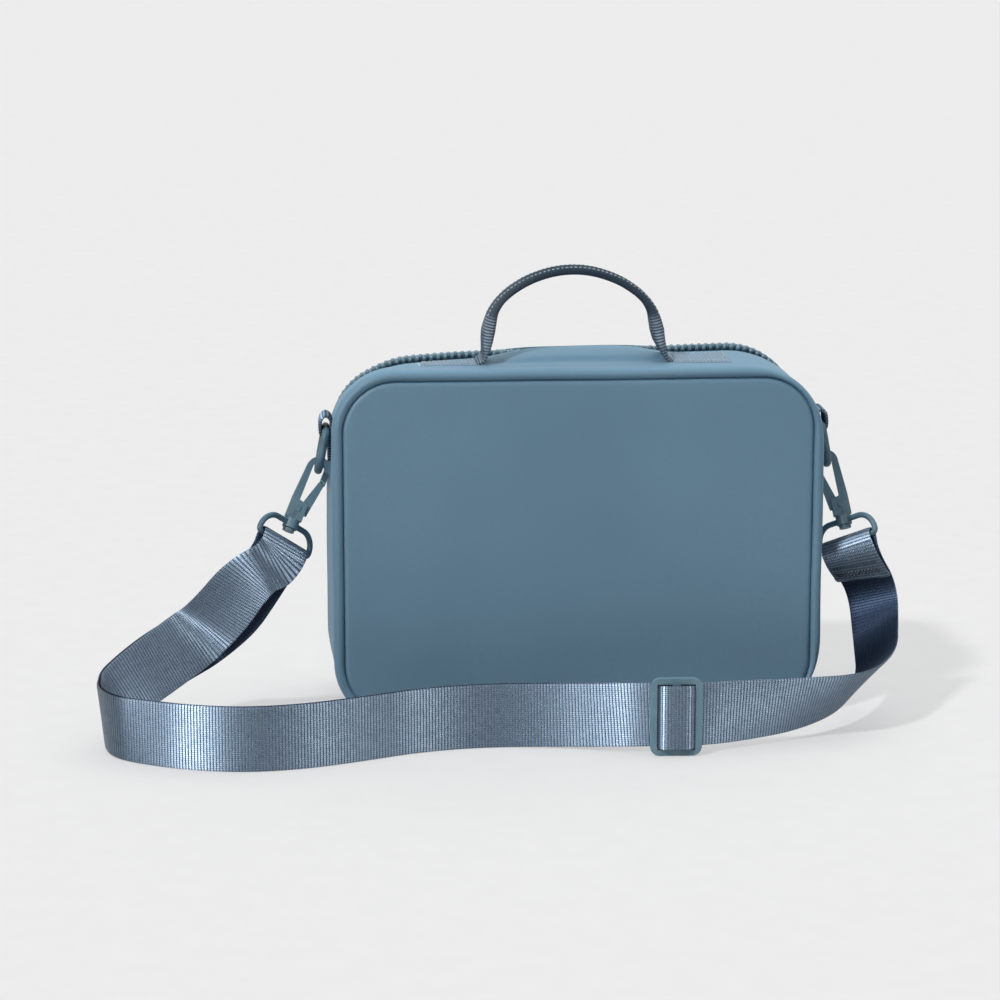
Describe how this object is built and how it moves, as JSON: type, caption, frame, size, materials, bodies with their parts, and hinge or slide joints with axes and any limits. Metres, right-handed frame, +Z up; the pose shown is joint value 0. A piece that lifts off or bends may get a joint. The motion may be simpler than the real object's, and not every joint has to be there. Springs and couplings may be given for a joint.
{
  "type": "lunch box",
  "caption": "Soft upright lunch box with a padded body, zip-round fold-down front, webbing top handle and clip-on adjustable shoulder strap.",
  "frame": {"origin": "bottom centre of the bag, on the surface it stands on", "axes": "+X along the width, with the plain back facing -Y and the fold-down front facing +Y, +Z up"},
  "size_m": [0.4137, 0.1689, 0.2348],
  "materials": {
    "shell_fabric": "matte laminated cloth with a fine grain",
    "foam": "white closed-cell foam",
    "liner": "wipe-clean grey liner",
    "zip_tape": "woven tape",
    "zip_plastic": "moulded, satin",
    "coated_metal": "matte coating",
    "webbing": "ribbed webbing with a satin sheen",
    "spring_steel": "bare"
  },
  "bodies": {
    "bag": {"upper_gusset": "shell_fabric", "base_gusset": "shell_fabric", "back_panel": "shell_fabric", "front_lower_panel": "shell_fabric", "back_foam": "foam", "gusset_foam": "foam", "bag_liner": "liner", "zip_tape_bag": "zip_tape", "zip_teeth_bag": "zip_plastic", "zip_end_stops": "zip_plastic", "handle_tab_left": "webbing", "handle_tab_right": "webbing", "side_loop_left": "webbing", "side_loop_right": "webbing", "strap_riser_left": "webbing", "strap_return_riser": "webbing", "strap_run": "webbing", "strap_return": "webbing", "strap_riser_right": "webbing", "strap_end_flap": "webbing"},
    "lid": {"lid_panel": "shell_fabric", "lid_gusset": "shell_fabric", "lid_foam": "foam", "lid_liner": "liner", "zip_tape_lid": "zip_tape", "zip_teeth_lid": "zip_plastic"},
    "zip_slider": {"zip_slider": "coated_metal"},
    "zip_pull": {"zip_pull": "coated_metal"},
    "handle": {"handle_grip": "webbing"},
    "strap_glide": {"strap_glide": "coated_metal", "strap_glide_wrap": "webbing"},
    "ring_left": {"side_ring_left": "coated_metal"},
    "hook_left": {"hook_left": "coated_metal", "gate_rivet_left": "coated_metal", "gate_spring_left": "spring_steel", "swivel_post_left": "coated_metal"},
    "gate_left": {"gate_left": "coated_metal"},
    "strap_ring_left": {"strap_ring_left": "coated_metal", "strap_fold_left": "webbing"},
    "ring_right": {"side_ring_right": "coated_metal"},
    "hook_right": {"hook_right": "coated_metal", "gate_rivet_right": "coated_metal", "gate_spring_right": "spring_steel", "swivel_post_right": "coated_metal"},
    "gate_right": {"gate_right": "coated_metal"},
    "strap_ring_right": {"strap_ring_right": "coated_metal", "strap_fold_right": "webbing"}
  },
  "joints": [
    {"name": "lid_fold", "type": "hinge", "parent": "bag", "child": "lid", "pos_m": [0, 0.045, 0.04], "axis": [-1, 0, 0], "range_deg": [0, 100]},
    {"name": "zip_slide", "type": "slide", "parent": "bag", "child": "zip_slider", "axis": [0, 0, 1], "range_m": [0, 0.085], "deforming": ["zip_teeth_bag", "zip_teeth_lid"]},
    {"name": "zip_pull_swing", "type": "hinge", "parent": "zip_slider", "child": "zip_pull", "pos_m": [0.1287, 0.023, 0.0502], "axis": [0, -1, 0], "range_deg": [0, 150]},
    {"name": "handle_swing", "type": "hinge", "parent": "bag", "child": "handle", "pos_m": [0, -0.011, 0.1952], "axis": [1, 0, 0], "range_deg": [-70, 70], "stiffness_Nm_per_rad": 0.02},
    {"name": "ring_swing_left", "type": "hinge", "parent": "bag", "child": "ring_left", "pos_m": [-0.1288, -0.011, 0.1496], "axis": [0, 1, 0], "range_deg": [0, 30], "deforming": ["strap_riser_left", "strap_return_riser"]},
    {"name": "hook_swing_left", "type": "hinge", "parent": "ring_left", "child": "hook_left", "pos_m": [-0.133, -0.011, 0.128], "axis": [0, 1, 0], "range_deg": [0, 25], "deforming": ["strap_riser_left", "strap_return_riser"]},
    {"name": "gate_press_left", "type": "hinge", "parent": "hook_left", "child": "gate_left", "pos_m": [-0.1442, -0.02003, 0.10972], "axis": [0.1589, -0.9205, 0.357], "range_deg": [0, 16], "stiffness_Nm_per_rad": 0.03},
    {"name": "strap_swivel_left", "type": "hinge", "parent": "hook_left", "child": "strap_ring_left", "pos_m": [-0.13556, -0.011, 0.12914], "axis": [0.3744, 0.3907, 0.8409], "range_deg": [-40, 40], "deforming": ["strap_riser_left", "strap_return_riser"]},
    {"name": "ring_swing_right", "type": "hinge", "parent": "bag", "child": "ring_right", "pos_m": [0.1288, -0.011, 0.1496], "axis": [0, -1, 0], "range_deg": [0, 30], "deforming": ["strap_riser_right", "strap_end_flap"]},
    {"name": "hook_swing_right", "type": "hinge", "parent": "ring_right", "child": "hook_right", "pos_m": [0.133, -0.011, 0.128], "axis": [0, -1, 0], "range_deg": [0, 25], "deforming": ["strap_riser_right", "strap_end_flap"]},
    {"name": "gate_press_right", "type": "hinge", "parent": "hook_right", "child": "gate_right", "pos_m": [0.13942, -0.0204, 0.10771], "axis": [0.0706, 0.9135, -0.4006], "range_deg": [0, 16], "stiffness_Nm_per_rad": 0.03},
    {"name": "strap_swivel_right", "type": "hinge", "parent": "hook_right", "child": "strap_ring_right", "pos_m": [0.13575, -0.011, 0.12849], "axis": [-0.1586, 0.4067, 0.8997], "range_deg": [-40, 15], "deforming": ["strap_riser_right", "strap_end_flap"]},
    {"name": "strap_adjust", "type": "slide", "parent": "bag", "child": "strap_glide", "axis": [0.9993, -0.0384, 0], "range_m": [-0.02, 0.02]}
  ]
}
